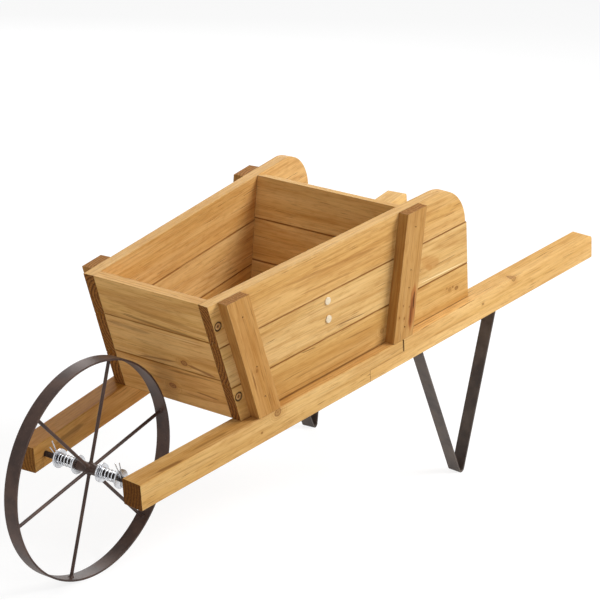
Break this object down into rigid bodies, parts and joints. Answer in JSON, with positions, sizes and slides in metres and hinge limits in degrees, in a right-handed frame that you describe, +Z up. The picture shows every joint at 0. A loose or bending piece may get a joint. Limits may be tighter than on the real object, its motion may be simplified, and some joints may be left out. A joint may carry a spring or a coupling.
{
  "type": "flower cart stand",
  "caption": "Small wooden wheelbarrow planter: plank box on two long rails with handle ends, one spoked steel wheel on a sprung axle, and bent steel strap legs.",
  "frame": {"origin": "middle of the footprint, on the ground", "axes": "+X from the wheel towards the handles, +Y to the right side for someone holding the handles, +Z up"},
  "size_m": [0.8402, 0.292, 0.3479],
  "materials": {
    "rail_wood": "stained, satin",
    "box_wood": "stained, satin",
    "coated_steel": "dark brown powder coat, satin",
    "zinc_hardware": "zinc plated",
    "zinc_fastener": "zinc plated",
    "cap": "cream, satin"
  },
  "bodies": {
    "frame": {"axle": "coated_steel", "box_screws": "zinc_fastener", "cleat_screws": "zinc_fastener", "floor_cleat_left": "box_wood", "floor_cleat_right": "box_wood", "floor_nails": "zinc_fastener", "floor_slat_1": "box_wood", "floor_slat_2": "box_wood", "floor_slat_3": "box_wood", "floor_slat_4": "box_wood", "front_plank_lower": "box_wood", "front_plank_middle": "box_wood", "front_plank_upper": "box_wood", "front_screws": "zinc_fastener", "front_strut_nails": "zinc_fastener", "leg_left": "coated_steel", "leg_right": "coated_steel", "leg_screws": "zinc_fastener", "rail_front_left": "rail_wood", "rail_front_right": "rail_wood", "rail_handle_left": "rail_wood", "rail_handle_right": "rail_wood", "rail_lap_screws": "zinc_fastener", "rear_strut_nails": "zinc_fastener", "side_caps": "cap", "side_plank_lower_left": "box_wood", "side_plank_lower_right": "box_wood", "side_plank_middle_left": "box_wood", "side_plank_middle_right": "box_wood", "side_plank_upper_left": "box_wood", "side_plank_upper_right": "box_wood", "split_pin_left": "zinc_hardware", "split_pin_right": "zinc_hardware", "spring_left": "zinc_hardware", "spring_right": "zinc_hardware", "strut_front_left": "box_wood", "strut_front_right": "box_wood", "strut_rear_left": "box_wood", "strut_rear_right": "box_wood", "tail_plank_lower": "box_wood", "tail_plank_middle": "box_wood", "tail_plank_upper": "box_wood", "washers_outer": "zinc_hardware"},
    "wheel_carrier": {"washers_inner": "zinc_hardware"},
    "wheel": {"wheel_rim": "coated_steel", "wheel_spokes": "coated_steel", "wheel_hub": "coated_steel"}
  },
  "joints": [
    {"name": "wheel_slide", "type": "slide", "parent": "frame", "child": "wheel_carrier", "axis": [0, 1, 0], "range_m": [-0.003, 0.003], "stiffness_N_per_m": 1000, "deforming": ["spring_left", "spring_right"]},
    {"name": "wheel_spin", "type": "hinge", "parent": "wheel_carrier", "child": "wheel", "pos_m": [-0.30584, 0, 0.1143], "axis": [0, 1, 0], "continuous": true}
  ]
}
